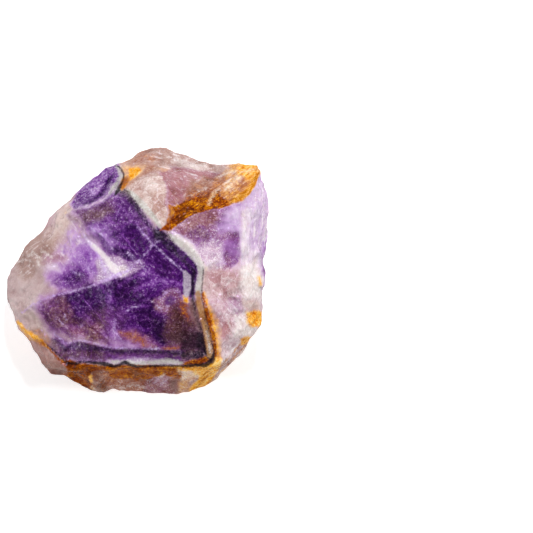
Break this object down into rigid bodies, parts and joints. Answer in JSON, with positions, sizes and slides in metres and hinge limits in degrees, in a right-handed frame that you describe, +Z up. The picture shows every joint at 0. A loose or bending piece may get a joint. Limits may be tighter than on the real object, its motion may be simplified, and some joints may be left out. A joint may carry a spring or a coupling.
{
  "type": "rough chevron amethyst stone",
  "caption": "Rough chunk of banded purple quartz with a chevron of white, dark and rust bands, lying on its flat broken side; a display or tumbling stone.",
  "frame": {"origin": "on the surface that the stone lies on, under the middle of its bounding box", "axes": "+Z up from the flat broken underside; +X along the widest way across the stone, towards the frosted lilac side; +Y towards the pinkish top peak"},
  "size_m": [0.06, 0.0564, 0.034],
  "materials": {
    "amethyst": "gloss"
  },
  "bodies": {
    "root": {"stone": "amethyst"}
  },
  "joints": []
}
